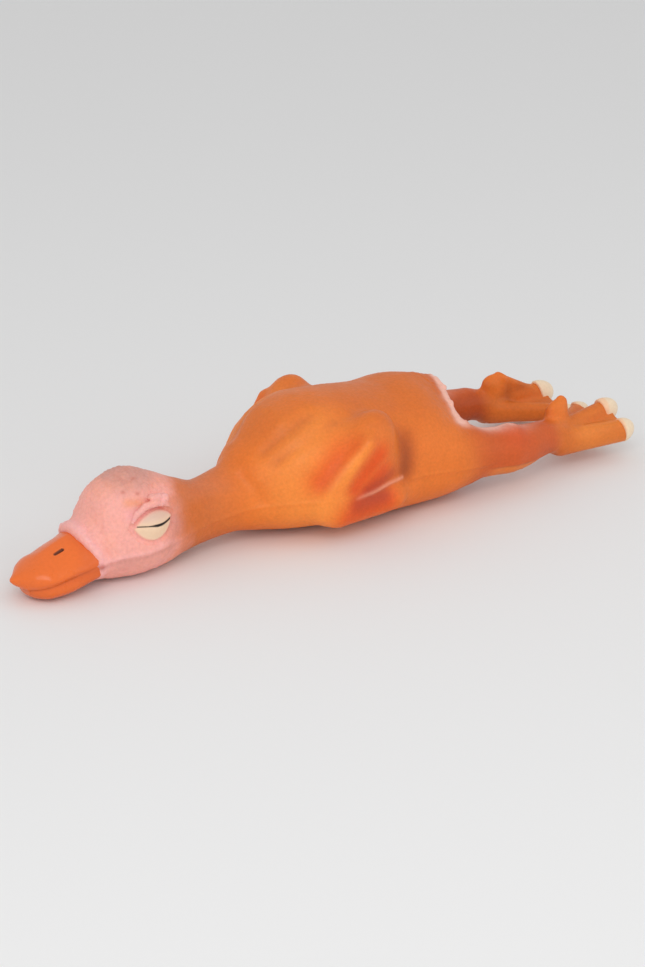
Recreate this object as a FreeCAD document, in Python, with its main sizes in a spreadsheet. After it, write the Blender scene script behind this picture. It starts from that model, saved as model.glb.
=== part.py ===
import FreeCAD, Part
import os

import Sketcher

# Plucked rubber bird with a duck's bill and webbed feet, lying on its belly with its legs stretched out
# behind. Millimetres, +X to the feet, +Z up, the bird's left side at -Y, standing on z = 0, and the
# origin below the middle of its length.

doc = FreeCAD.newDocument("rubber_bird")
sheet = doc.addObject("Spreadsheet::Sheet", "sizes")

# Sections of each hollow form from front to back: place along the length, half width, half height and
# height of the centre. The limbs also have a sideways place, on the left side.
TRUNK_FIELDS = ("along", "wide", "tall", "level")
LIMB_FIELDS = ("along", "wide", "tall", "level", "side")

FORMS = {
    "torso": (TRUNK_FIELDS, [
        (-61, 22, 21, 26),
        (-52, 27, 25.5, 29),
        (-37, 38.5, 33, 35),
        (-19, 47, 36, 37.5),
        (6, 48, 36, 35),
        (31, 44, 35, 34.2),
        (53, 45.5, 33.5, 33),
        (71, 44, 31, 33),
        (87, 36, 25, 31),
        (96, 22, 15, 27),
    ]),
    "neck": (TRUNK_FIELDS, [
        (-114, 20, 23.5, 25.5),
        (-99, 16.5, 20, 23),
        (-84, 15, 18, 21),
        (-69, 17, 18.5, 23),
        (-54, 24.5, 25, 28),
    ]),
    "head": (TRUNK_FIELDS, [
        (-162, 17.5, 16, 19.5),
        (-153, 17.5, 19.5, 23),
        (-143, 21, 26.5, 27.5),
        (-129, 24, 28.5, 29.5),
        (-114, 21, 25, 26.5),
        (-99, 17, 20.5, 23),
    ]),
    "bill": (TRUNK_FIELDS, [
        (-193, 6.5, 2.6, 13),
        (-190, 10.5, 4.4, 13.5),
        (-183.5, 14.5, 6.8, 14),
        (-174, 17, 10, 14.5),
        (-162.2, 17.3, 15, 18),
    ]),
    "chin": (TRUNK_FIELDS, [
        (-188, 8, 4.5, 8),
        (-184, 11.5, 6, 8.8),
        (-176, 14.5, 7.6, 9.8),
        (-162.2, 16, 8.6, 11.5),
    ]),
    "leg": (LIMB_FIELDS, [
        (84, 15, 15.6, 24, -31.5),
        (93, 15.4, 15.8, 24, -32),
        (102, 13.6, 14.6, 24, -33.5),
        (114, 13, 14.5, 23, -36),
        (128, 9.5, 11, 21, -35.5),
        (142, 9, 9.5, 20, -33.5),
    ]),
    "web": (LIMB_FIELDS, [
        (132, 8.6, 8.4, 20, -34),
        (148, 10, 8, 19, -32),
        (166, 15, 5.5, 17.5, -28),
        (186, 21, 4.6, 16, -24.5),
    ]),
    "hallux": (("level", "wide", "tall", "along", "side"), [
        (24, 4, 7.5, 149, -31),
        (31, 3.2, 5, 148, -30.5),
        (39.5, 1.2, 1.4, 147, -30),
    ]),
}

SIZES = {
    "wall": 2.2,            # latex skin
    "gap": 0.4,             # running gap at every flexing line
    "deep": 120.0,          # larger than any section, for the blocks that trim
    # ball-shaped flexing lines
    "neck_top": -98.0,
    "neck_top_level": 23.0,
    "neck_top_ball": 21.5,
    "neck_root": -60.0,
    "neck_root_level": 26.5,
    "neck_root_ball": 24.5,
    "hip": 89.0,
    "hip_side": -31.5,
    "hip_level": 24.0,
    "hip_ball": 17.6,
    "ankle": 139.0,
    "ankle_side": -33.8,
    "ankle_level": 20.0,
    "ankle_ball": 12.0,
    # bill
    "mouth": 12.0,          # height of the mouth line
    "lip_gap": 0.2,
    # wings: a raised elbow lobe and the hand below it
    "elbow_along": -4.0,
    "elbow_side": -38.0,
    "elbow_level": 40.0,
    "elbow_long": 25.0,
    "elbow_thick": 14.0,
    "elbow_high": 19.0,
    "elbow_tilt": 28.0,
    "hand_along": -3.0,
    "hand_side": -38.0,
    "hand_level": 18.5,
    "hand_long": 24.0,
    "hand_thick": 9.5,
    "hand_high": 10.0,
    # closed eyes
    "eye_along": -127.0,
    "eye_side": -21.6,
    "eye_level": 30.0,
    "eye_long": 11.0,
    "eye_thick": 4.2,
    "eye_high": 6.0,
    "eye_tilt": 12.0,
    # toes and claws
    "toe_root": 145.0,
    "toe_root_side": -32.0,
    "toe_root_level": 20.0,
    "toe_thick_root": 6.0,
    "toe_thick_tip": 4.6,
    "outer_toe_side": -43.0,
    "outer_toe_level": 13.5,
    "middle_toe_side": -25.5,
    "middle_toe_level": 20.5,
    "inner_toe_side": -7.0,
    "inner_toe_level": 16.5,
    "toe_tip": 186.0,
    "claw_long": 6.4,
    "claw_thick": 4.4,
    # squeaker in the belly
    "squeaker_along": 4.0,
    "housing_radius": 9.0,
    "housing_wall": 1.1,
    "housing_top": 15.0,
    "recess": 0.5,          # how far the squeaker sits above the resting plane
    "collar_radius": 14.0,
    "collar_top": 3.4,
    "flange_radius": 12.0,
    "flange_thick": 1.2,
    "bore_clearance": 0.1,
    "sound_hole_radius": 1.5,
    "cover_thick": 1.4,
    "cover_hole_radius": 1.0,
    "cover_hole_circle": 4.6,
    "block_level": 6.0,
    "block_thick": 1.8,
    "slot_wide": 2.6,
    "slot_long": 8.0,
    "tongue_wide": 3.6,
    "tongue_long": 11.0,
    "tongue_thick": 0.25,
    "tongue_lift": 0.45,
    "clip_wide": 6.4,
    "clip_long": 2.6,
    "clip_high": 2.2,
    # fibre wad
    "wad_clearance": 3.0,
    "wad_radius": 16.0,
    "wad_top": 19.0,
}

# place along the bird and to the side of the upright axis that the squeaker's round pieces share
SQUEAKER_AXIS = ("sizes.squeaker_along", "0")
COVER_HOLES = 6


def fill_sheet():
    """Write every driving dimension to the sheet under its own name."""
    cells = dict(SIZES)
    for form, (fields, rows) in FORMS.items():
        for number, row in enumerate(rows, 1):
            for field, value in zip(fields, row):
                cells[f"{form}_{number}_{field}"] = value
    for line, (name, value) in enumerate(cells.items(), 1):
        sheet.set(f"A{line}", name)
        sheet.set(f"B{line}", str(value))
        sheet.setAlias(f"B{line}", name)
    doc.recompute()


def size(name):
    return float(sheet.get(name))


def bind(thing, **expressions):
    """Bind properties to sheet expressions; __ in a name stands for a dot."""
    for prop, expression in expressions.items():
        thing.setExpression(prop.replace("__", "."), expression)
    return thing


def new(kind, name, **expressions):
    thing = doc.addObject(kind, name)
    thing.Label = name
    return bind(thing, **expressions)


def place(thing, x, y, z):
    return bind(thing, Placement__Base__x=x, Placement__Base__y=y, Placement__Base__z=z)


def turn(thing, axis, degrees):
    """Turn a placed object about its own base."""
    turned = FreeCAD.Rotation(FreeCAD.Vector(*axis), degrees)
    thing.Placement = FreeCAD.Placement(thing.Placement.Base, turned)
    return thing


def plane(body, role):
    return next(face for face in body.Origin.OriginFeatures if face.Role == role)


def ellipse_sketch(body, name, role, at, wide, tall, side, level):
    """An ellipse in a plane of the body, moved out by `at`; all sizes are sheet expressions."""
    sketch = body.newObject("Sketcher::SketchObject", name)
    sketch.AttachmentSupport = [(plane(body, role), "")]
    sketch.MapMode = "FlatFace"
    sketch.setExpression("AttachmentOffset.Base.z", at)
    upright = sketch.evalExpression(tall) > sketch.evalExpression(wide)
    first, second = (tall, wide) if upright else (wide, tall)
    middle = FreeCAD.Vector(sketch.evalExpression(side), sketch.evalExpression(level), 0)
    along, across = FreeCAD.Vector(1, 0, 0), FreeCAD.Vector(0, 1, 0)
    if upright:
        along, across = across, along
    major = middle + along * sketch.evalExpression(first)
    minor = middle + across * sketch.evalExpression(second)
    sketch.addGeometry(Part.Ellipse(major, minor, middle), False)
    sketch.exposeInternalGeometry(0)
    sketch.addConstraint(Sketcher.Constraint("Vertical" if upright else "Horizontal", 1))
    dimension(sketch, ("DistanceX", -1, 1, 0, 3), side)
    dimension(sketch, ("DistanceY", -1, 1, 0, 3), level)
    dimension(sketch, ("Distance", 1), f"2 * ({first})")
    dimension(sketch, ("Distance", 2), f"2 * ({second})")
    return sketch


def dimension(sketch, constraint, expression):
    value = sketch.evalExpression(expression)
    index = sketch.addConstraint(Sketcher.Constraint(*constraint, value))
    sketch.setExpression(f"Constraints[{index}]", expression)


def hollow_form(name, form, inset="0", front="0", back="0"):
    """A loft through a form's sections, made smaller by `inset`; `front` and `back` move its two ends."""
    fields, rows = FORMS[form]
    body = new("PartDesign::Body", name)
    sketches = []
    for number in range(1, len(rows) + 1):
        row = f"sizes.{form}_{number}"
        shift = {1: front, len(rows): back}.get(number, "0")
        side = f"{row}_side" if "side" in fields else "0"
        at = f"{row}_along + ({shift})"
        sketches.append(ellipse_sketch(body, f"{name}_{number}", "YZ_Plane", at, f"{row}_wide - {inset}",
                                       f"{row}_tall - {inset}", side, f"{row}_level"))
    return loft(body, name, sketches)


def loft(body, name, sketches):
    feature = body.newObject("PartDesign::AdditiveLoft", f"{name}_loft")
    feature.Profile = (sketches[0], [""])
    feature.Sections = [(sketch, [""]) for sketch in sketches[1:]]
    return body


def ball(name, radius, x, y, z):
    return place(new("Part::Sphere", name, Radius=radius), x, y, z)


def block(name, x, y, z, length, width, height):
    """A block with its lowest corner at x, y, z."""
    return place(new("Part::Box", name, Length=length, Width=width, Height=height), x, y, z)


def rod(name, radius, height, x, y, z):
    return place(new("Part::Cylinder", name, Radius=radius, Height=height), x, y, z)


def egg(name, long, thick, high, x, y, z, tilt=0):
    """An ellipsoid with its half axes along X, Y and Z, tilted about Y."""
    shape = new("Part::Ellipsoid", name, Radius1=high, Radius2=long, Radius3=thick)
    return turn(place(shape, x, y, z), (0, 1, 0), tilt)


def cut(name, base, tool):
    feature = new("Part::Cut", name)
    feature.Base = base
    feature.Tool = tool
    return feature


def fuse(name, *shapes):
    feature = new("Part::MultiFuse", name)
    feature.Shapes = list(shapes)
    return feature


def mirror(name, source):
    """The same piece on the bird's right side."""
    feature = new("Part::Mirroring", name)
    feature.Source = source
    feature.Normal = (0, 1, 0)
    return feature


def socket(name, stem, side="0"):
    """The round hollow that a flexing line turns in."""
    return ball(name, f"sizes.{stem}_ball", f"sizes.{stem}", side, f"sizes.{stem}_level")


def make_torso():
    form = hollow_form("torso_form", "torso")
    cavity = hollow_form("torso_cavity", "torso", "sizes.wall", "-1", "-sizes.wall")
    shell = cut("torso_shell", form, cavity)
    x, y = SQUEAKER_AXIS
    collar = rod("squeaker_collar", "sizes.collar_radius", "sizes.collar_top", x, y, "0")
    bore_radius = "sizes.housing_radius + sizes.bore_clearance"
    bore = rod("squeaker_bore", bore_radius, "sizes.collar_top + 4", x, y, "-2")
    ground = block("torso_ground", "-sizes.deep", "-sizes.deep", "-sizes.deep",
                   "2 * sizes.deep", "2 * sizes.deep", "sizes.deep")
    left_hip = socket("left_hip_hollow", "hip", "sizes.hip_side")
    right_hip = socket("right_hip_hollow", "hip", "-sizes.hip_side")
    neck_hollow = socket("neck_hollow", "neck_root")
    clear = fuse("torso_clear", bore, ground, left_hip, right_hip, neck_hollow)
    return cut("torso_skin", fuse("torso_with_collar", shell, collar), clear), form


def make_neck():
    form = hollow_form("neck_form", "neck")
    cavity = hollow_form("neck_cavity", "neck", "sizes.wall", "-1", "1")
    tube = cut("neck_tube", form, cavity)
    head_end = ball("neck_head_end", "sizes.neck_top_ball - sizes.gap", "sizes.neck_top", "0",
                    "sizes.neck_top_level")
    torso_end = ball("neck_torso_end", "sizes.neck_root_ball - sizes.gap", "sizes.neck_root", "0",
                     "sizes.neck_root_level")
    middle = block("neck_middle", "sizes.neck_top", "-sizes.deep / 2", "-sizes.deep / 2",
                   "sizes.neck_root - sizes.neck_top", "sizes.deep", "sizes.deep")
    kept = fuse("neck_kept", head_end, middle, torso_end)
    neck = new("Part::Common", "neck_skin")
    neck.Base = tube
    neck.Tool = kept
    return neck


def make_head():
    form = hollow_form("head_form", "head")
    cavity = hollow_form("head_cavity", "head", "sizes.wall", "sizes.wall", "1")
    shell = cut("head_shell", form, cavity)
    skin = cut("head_skin", shell, socket("head_hollow", "neck_top"))
    return skin, form


def make_bill():
    across = ("4 * sizes.deep", "2 * sizes.deep", "sizes.deep")
    below = block("bill_below", "-2 * sizes.deep", "-sizes.deep",
                  "-sizes.deep + sizes.mouth + sizes.lip_gap / 2", *across)
    above = block("chin_above", "-2 * sizes.deep", "-sizes.deep", "sizes.mouth - sizes.lip_gap / 2", *across)
    return [cut("upper_bill", hollow_form("bill_form", "bill"), below),
            cut("lower_bill", hollow_form("chin_form", "chin"), above)]


def make_wings(torso_form):
    elbow = egg("elbow_lobe", "sizes.elbow_long", "sizes.elbow_thick", "sizes.elbow_high",
                "sizes.elbow_along", "sizes.elbow_side", "sizes.elbow_level", size("elbow_tilt"))
    hand = egg("hand_lobe", "sizes.hand_long", "sizes.hand_thick", "sizes.hand_high",
               "sizes.hand_along", "sizes.hand_side", "sizes.hand_level")
    left = cut("left_wing", fuse("wing_form", elbow, hand), torso_form)
    return [left, mirror("right_wing", left)]


def make_eyes(head_form):
    lids = egg("eyelid_form", "sizes.eye_long", "sizes.eye_thick", "sizes.eye_high",
               "sizes.eye_along", "sizes.eye_side", "sizes.eye_level", -size("eye_tilt"))
    left = cut("left_eyelids", lids, head_form)
    return [left, mirror("right_eyelids", left)]


def make_legs():
    form = hollow_form("leg_form", "leg")
    cavity = hollow_form("leg_cavity", "leg", "sizes.wall", "-1", "1")
    tube = cut("leg_tube", form, cavity)
    hollow = socket("ankle_hollow", "ankle", "sizes.ankle_side")
    left = cut("left_leg_skin", tube, hollow)
    return [left, mirror("right_leg_skin", left)]


def toe(name, side, level):
    """A tapered toe ridge from the heel to one claw."""
    start = FreeCAD.Vector(size("toe_root"), size("toe_root_side"), size("toe_root_level"))
    end = FreeCAD.Vector(size("toe_tip"), size(side), size(level))
    ridge = new("Part::Cone", name, Radius1="sizes.toe_thick_root", Radius2="sizes.toe_thick_tip")
    ridge.Height = (end - start).Length
    ridge.Placement = FreeCAD.Placement(start, FreeCAD.Rotation(FreeCAD.Vector(0, 0, 1), end - start))
    return ridge


def make_feet():
    """The webbed foot with its toe ridges, its hind spur and its claws."""
    toes = {name: (f"{name}_toe_side", f"{name}_toe_level") for name in ("outer", "middle", "inner")}
    ridges = [toe(f"{name}_toe", *where) for name, where in toes.items()]
    tip_trim = block("toe_tip_trim", "sizes.toe_tip", "-sizes.deep", "-sizes.deep",
                     "sizes.deep", "2 * sizes.deep", "2 * sizes.deep")
    left_foot = cut("left_foot_web", fuse("foot_form", hollow_form("web_form", "web"), *ridges), tip_trim)

    spur = new("PartDesign::Body", "hallux_form")
    rows = FORMS["hallux"][1]
    sketches = [ellipse_sketch(spur, f"hallux_{number}", "XY_Plane", f"sizes.hallux_{number}_level",
                               f"sizes.hallux_{number}_tall", f"sizes.hallux_{number}_wide",
                               f"sizes.hallux_{number}_along", f"sizes.hallux_{number}_side")
                for number in range(1, len(rows) + 1)]
    loft(spur, "hallux", sketches)
    left_spur = cut("left_hallux", spur, left_foot)

    domes = [egg(f"{name}_claw", "sizes.claw_long", "sizes.claw_thick", "sizes.claw_thick",
                 "sizes.toe_tip", f"sizes.{side}", f"sizes.{level}")
             for name, (side, level) in toes.items()]
    behind = block("claw_trim", "sizes.toe_tip + 0.05 - sizes.deep", "-sizes.deep", "-sizes.deep",
                   "sizes.deep", "2 * sizes.deep", "2 * sizes.deep")
    left_claws = cut("left_claws", fuse("claw_domes", *domes), behind)
    left = [left_foot, left_spur, left_claws]
    return left + [mirror(piece.Label.replace("left", "right"), piece) for piece in left]


def make_housing():
    """The squeaker's cup, open at the bottom, with the flange that the skin's collar grips."""
    x, y = SQUEAKER_AXIS
    cup = rod("housing_cup", "sizes.housing_radius", "sizes.housing_top - sizes.recess", x, y, "sizes.recess")
    flange = rod("housing_flange", "sizes.flange_radius", "sizes.flange_thick", x, y, "sizes.collar_top")
    room = rod("housing_room", "sizes.housing_radius - sizes.housing_wall",
               "sizes.housing_top - sizes.housing_wall", x, y, "0")
    hole = rod("housing_sound_hole", "sizes.sound_hole_radius", "sizes.housing_top", x, y, "sizes.recess")
    return cut("squeaker_housing", fuse("housing_solid", cup, flange), fuse("housing_hollow", room, hole))


def room_radius():
    return "sizes.housing_radius - sizes.housing_wall - sizes.bore_clearance"


def make_cover():
    """The perforated disc over the squeaker's mouth, flush with the belly."""
    body = new("PartDesign::Body", "squeaker_cover")
    sketch = circle_sketch(body, "cover_outline", "sizes.recess", room_radius())
    disc = body.newObject("PartDesign::Pad", "cover_disc")
    disc.Profile = sketch
    disc.setExpression("Length", "sizes.cover_thick")
    hole = circle_sketch(body, "cover_hole", "sizes.recess", "sizes.cover_hole_radius",
                         "sizes.cover_hole_circle")
    pocket = body.newObject("PartDesign::Pocket", "cover_hole_cut")
    pocket.Profile = hole
    pocket.Reversed = True
    pocket.setExpression("Length", "sizes.cover_thick")
    ring = body.newObject("PartDesign::PolarPattern", "cover_hole_ring")
    ring.Originals = [pocket]
    ring.Axis = (hole, ["N_Axis"])
    ring.Occurrences = COVER_HOLES
    ring.Angle = 360
    body.Tip = ring
    return place(body, "sizes.squeaker_along", "0", "0")


def circle_sketch(body, name, at, radius, out="0"):
    sketch = body.newObject("Sketcher::SketchObject", name)
    sketch.AttachmentSupport = [(plane(body, "XY_Plane"), "")]
    sketch.MapMode = "FlatFace"
    sketch.setExpression("AttachmentOffset.Base.z", at)
    middle = FreeCAD.Vector(sketch.evalExpression(out), 0, 0)
    up = FreeCAD.Vector(0, 0, 1)
    sketch.addGeometry(Part.Circle(middle, up, sketch.evalExpression(radius)), False)
    sketch.addConstraint(Sketcher.Constraint("PointOnObject", 0, 3, -1))
    dimension(sketch, ("DistanceX", -1, 1, 0, 3), out)
    dimension(sketch, ("Radius", 0), radius)
    return sketch


def make_reed():
    """The block with its air slot, the tongue that flutters over it and the clip that holds the tongue."""
    x, y = SQUEAKER_AXIS
    disc = rod("block_disc", room_radius(), "sizes.block_thick", x, y, "sizes.block_level")
    slot = block("block_slot", "sizes.squeaker_along - sizes.slot_long / 2", "-sizes.slot_wide / 2",
                 "sizes.block_level - 1", "sizes.slot_long", "sizes.slot_wide", "sizes.block_thick + 2")
    reed_block = cut("reed_block", disc, slot)
    top = "sizes.block_level + sizes.block_thick"
    root = "sizes.squeaker_along - sizes.tongue_long / 2"
    tongue = block("reed_tongue", root, "-sizes.tongue_wide / 2", f"{top} + sizes.tongue_lift",
                   "sizes.tongue_long", "sizes.tongue_wide", "sizes.tongue_thick")
    bridge = block("clip_bridge", f"{root} - sizes.clip_long / 4", "-sizes.clip_wide / 2", top,
                   "sizes.clip_long", "sizes.clip_wide", "sizes.clip_high")
    passage = block("clip_passage", f"{root} - sizes.clip_long", "-sizes.tongue_wide / 2 - sizes.gap",
                    f"{top} - 1", "3 * sizes.clip_long", "sizes.tongue_wide + 2 * sizes.gap",
                    "1 + 2 * sizes.tongue_lift + sizes.tongue_thick")
    return [reed_block, tongue, cut("reed_clip", bridge, passage)]


def make_fill():
    """The fibre wad that fills the body, with room for the squeaker."""
    wad = hollow_form("wad_form", "torso", "(sizes.wall + sizes.wad_clearance)")
    x, y = SQUEAKER_AXIS
    room = rod("wad_squeaker_room", "sizes.wad_radius", "sizes.wad_top + 5", x, y, "-5")
    front = block("wad_front_trim", "-2 * sizes.deep", "-sizes.deep", "-sizes.deep",
                  "2 * sizes.deep + sizes.neck_root + sizes.neck_root_ball + 2",
                  "2 * sizes.deep", "2 * sizes.deep")
    back = block("wad_back_trim", "sizes.hip - sizes.hip_ball - 2", "-sizes.deep", "-sizes.deep",
                 "sizes.deep", "2 * sizes.deep", "2 * sizes.deep")
    return cut("fibre_fill", wad, fuse("wad_trim", room, front, back))


def check(pieces):
    """Stop if any object failed or any piece isn't a sound solid."""
    for thing in doc.Objects:
        if {"Invalid", "Error"} & set(thing.State):
            raise RuntimeError(f"{thing.Label} failed: {thing.State}")
    for piece in pieces:
        shape = piece.Shape
        if shape.isNull() or not shape.isValid() or not shape.Solids:
            raise RuntimeError(f"{piece.Label} has no sound solid")


def main():
    fill_sheet()
    torso, torso_form = make_torso()
    head, head_form = make_head()
    pieces = [torso, make_neck(), head, *make_bill(), *make_wings(torso_form), *make_eyes(head_form)]
    pieces += [*make_legs(), *make_feet(), make_housing(), make_cover(), *make_reed(), make_fill()]
    doc.recompute()
    check(pieces)
    os.makedirs("parts", exist_ok=True)
    for piece in pieces:
        piece.Shape.exportStep(f"parts/{piece.Label}.step")
        print(f"{piece.Label}: {len(piece.Shape.Solids)} solid(s), {piece.Shape.Volume / 1000:.2f} cm3")


main()
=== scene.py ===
import math

import bmesh
import bpy
import numpy as np
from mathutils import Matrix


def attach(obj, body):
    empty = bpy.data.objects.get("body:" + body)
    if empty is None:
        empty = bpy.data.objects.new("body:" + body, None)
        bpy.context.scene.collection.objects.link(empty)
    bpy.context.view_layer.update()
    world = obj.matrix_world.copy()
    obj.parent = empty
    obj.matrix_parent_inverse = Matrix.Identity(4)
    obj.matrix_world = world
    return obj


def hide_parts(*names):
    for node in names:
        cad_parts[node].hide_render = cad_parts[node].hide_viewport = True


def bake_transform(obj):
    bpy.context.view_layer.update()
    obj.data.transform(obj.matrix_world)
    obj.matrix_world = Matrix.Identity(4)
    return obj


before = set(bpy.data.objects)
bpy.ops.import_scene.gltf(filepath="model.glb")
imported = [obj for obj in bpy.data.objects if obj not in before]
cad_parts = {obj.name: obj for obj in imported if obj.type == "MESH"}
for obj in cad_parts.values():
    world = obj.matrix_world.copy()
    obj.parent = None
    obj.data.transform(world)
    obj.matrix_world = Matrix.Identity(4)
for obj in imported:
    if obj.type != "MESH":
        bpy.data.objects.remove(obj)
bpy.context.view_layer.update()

import openvdb
from mathutils import Vector

# The latex skin is modelled as a distance field in millimetres: +X to the feet, +Z up, the bird's left
# side at -Y. The field becomes a mesh, gets its wrinkles, pores and paint, and is divided into one piece
# for each place where the skin flexes. Distances along X are measured from the middle of the body, and
# DRAWN_AT says where that is in the frame.

MM = 0.001
DRAWN_AT = np.array((-8.0, 0.0, 0.0))
SKIN_GRID, FINE_GRID, LID_GRID, FILL_GRID = 0.8, 0.4, 0.35, 2.0
SKIRT = 1.5  # how far a piece turns in under its neighbour
SIDES = {"left": -1, "right": 1}


def place(x, y, z):
    """A point of the form, as a place in the frame in metres."""
    return tuple((np.array((x, y, z)) + DRAWN_AT) * MM)


# -------- distance fields

def smooth_min(a, b, reach):
    """Join two fields with a fillet about as wide as `reach`."""
    mix = np.clip(0.5 + 0.5 * (b - a) / reach, 0, 1)
    return b + (a - b) * mix - reach * mix * (1 - mix)


def smooth_max(a, b, reach):
    return -smooth_min(-a, -b, reach)


def joined(fields, reach):
    """Join any number of fields, one after another."""
    total, *others = fields
    for field in others:
        total = smooth_min(total, field, reach)
    return total


def ramp(value, low, high):
    """0 at low, 1 at high, smooth in between."""
    share = np.clip((value - low) / (high - low), 0, 1)
    return share * share * (3 - 2 * share)


def fall(value, low, high):
    """1 at low, 0 at high, smooth in between."""
    return 1 - ramp(value, low, high)


def hump(value, middle, width):
    """1 at the middle, falling off smoothly on both sides."""
    return np.exp(-((value - middle) / width) ** 2)


def through(x, stations, column):
    """A smooth curve through one column of a table of stations, without overshoot."""
    at = np.array([row[0] for row in stations], float)
    value = np.array([row[column] for row in stations], float)
    slope = np.diff(value) / np.diff(at)
    tangent = np.concatenate([[slope[0]], np.zeros(len(slope) - 1), [slope[-1]]])
    same = slope[:-1] * slope[1:] > 0
    tangent[1:-1][same] = 2 * slope[:-1][same] * slope[1:][same] / (slope[:-1] + slope[1:])[same]
    x = np.clip(x, at[0], at[-1])
    cell = np.clip(np.searchsorted(at, x) - 1, 0, len(slope) - 1)
    width = (at[1:] - at[:-1])[cell]
    t = (x - at[cell]) / width
    return ((1 + 2 * t) * (1 - t) ** 2 * value[cell] + t * (1 - t) ** 2 * width * tangent[cell]
            + t * t * (3 - 2 * t) * value[cell + 1] + t * t * (t - 1) * width * tangent[cell + 1])


class Space:
    """Points where fields are evaluated: a grid or a list of points. Features are described on the left
    side, and `facing` shows the same points as the right side's features see them."""

    def __init__(self, x, y, z):
        self.x, self.y, self.z = x, y, z

    @classmethod
    def grid(cls, low, high, step):
        axes = [a + step * np.arange(int(math.ceil((b - a) / step)) + 1) for a, b in zip(low, high)]
        space = cls(axes[0][:, None, None], axes[1][None, :, None], axes[2][None, None, :])
        space.low, space.step = np.array(low, float), step
        space.shape = tuple(len(axis) for axis in axes)
        return space

    @classmethod
    def points(cls, points):
        return cls(*points.T)

    @classmethod
    def folded(cls, points):
        """Points of both sides, as the left side's features see them."""
        right = points[:, 1] > 0
        slack = cls.points(points).slack("right")
        return cls(np.where(right, slack.x, points[:, 0]), -np.abs(points[:, 1]),
                   np.where(right, slack.z, points[:, 2]))

    def facing(self, side):
        return Space(self.x, -side * self.y, self.z)

    def slack(self, side):
        """The points as a limp foot of that side sees them: drawn out and sunk a little."""
        longer, sink = FOOT_SLACK[side]
        past = np.maximum(self.x - 140, 0)
        return Space(self.x - longer * ramp(self.x, 112, 144), self.y, self.z + sink * past)

    def bore(self, x, radius, top):
        """An upright round hole in the middle plane, from below."""
        return np.maximum(np.sqrt((self.x - x) ** 2 + self.y ** 2) - radius, self.z - top)

    def window(self, low, high):
        """The part of a grid inside a box, and the slices that it takes up."""
        first = np.maximum(np.floor((np.array(low) - self.low) / self.step), 0).astype(int)
        last = np.minimum(np.ceil((np.array(high) - self.low) / self.step), self.shape).astype(int)
        i, j, k = (slice(a, b) for a, b in zip(first, last))
        return Space(self.x[i], self.y[:, j], self.z[:, :, k]), (i, j, k)

    def tube(self, stations, top=2.0, bottom=2.0):
        """A form swept along X through stations: half width, height above and depth below a level, that
        level, and a place to the side. `top` and `bottom` say how square its sections are: 2 is round."""
        wide, up, down, level = (through(self.x, stations, column) for column in (1, 2, 3, 4))
        across = self.y - (through(self.x, stations, 5) if len(stations[0]) > 5 else 0)
        rise = self.z - level
        tall = np.where(rise > 0, up, down)
        square = np.where(rise > 0, top, bottom)
        reach = ((np.abs(across) / wide) ** square + (np.abs(rise) / tall) ** square) ** (1 / square)
        out = np.sqrt(across ** 2 + rise ** 2) + 1e-3
        radius = out / np.maximum(reach, 1e-4)
        before, after = stations[0][0] - self.x, self.x - stations[-1][0]
        return np.maximum(np.minimum(out - radius, 60), np.maximum(before, after))

    def limb(self, start, end, start_radius, end_radius, stretch=(1, 1, 1)):
        """A round limb that tapers between two points, stretched along the axes."""
        scale = np.array(stretch, float)
        a, d = np.array(start) / scale, (np.array(end) - np.array(start)) / scale
        px, py, pz = self.x / scale[0] - a[0], self.y / scale[1] - a[1], self.z / scale[2] - a[2]
        t = np.clip((px * d[0] + py * d[1] + pz * d[2]) / (d @ d), 0, 1)
        gap = np.sqrt((px - t * d[0]) ** 2 + (py - t * d[1]) ** 2 + (pz - t * d[2]) ** 2)
        return gap - (start_radius + (end_radius - start_radius) * t)

    def chain(self, knots, reach=1.0):
        """Limbs joined through a list of (point, radius)."""
        return joined([self.limb(start, end, r0, r1) for (start, r0), (end, r1) in zip(knots, knots[1:])],
                      reach)

    def egg(self, middle, radii, turn_y=0):
        """An ellipsoid, turned about Y by an angle in degrees."""
        px, py, pz = self.x - middle[0], self.y - middle[1], self.z - middle[2]
        c, s = math.cos(math.radians(turn_y)), math.sin(math.radians(turn_y))
        px, pz = c * px - s * pz, s * px + c * pz
        near = np.sqrt((px / radii[0]) ** 2 + (py / radii[1]) ** 2 + (pz / radii[2]) ** 2) + 1e-6
        steep = np.sqrt((px / radii[0] ** 2) ** 2 + (py / radii[1] ** 2) ** 2 + (pz / radii[2] ** 2) ** 2)
        return near * (near - 1) / (steep + 1e-6)

    def sheet(self, a, b, c, thick):
        """A flat triangle of a given half thickness."""
        p = np.stack(np.broadcast_arrays(self.x, self.y, self.z), -1)
        a, b, c = (np.array(point, float) for point in (a, b, c))
        normal = np.cross(b - a, c - a)
        inside = np.ones(p.shape[:-1], bool)
        edge_gap = np.full(p.shape[:-1], 1e9)
        for start, end in ((a, b), (b, c), (c, a)):
            side = end - start
            q = p - start
            t = np.clip(q @ side / (side @ side), 0, 1)
            edge_gap = np.minimum(edge_gap, ((q - t[..., None] * side) ** 2).sum(-1))
            inside &= (q @ np.cross(normal, side)) >= 0
        flat_gap = ((p - a) @ normal) ** 2 / (normal @ normal)
        return np.sqrt(np.where(inside, flat_gap, edge_gap)) - thick


# -------- the bird's form

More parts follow.
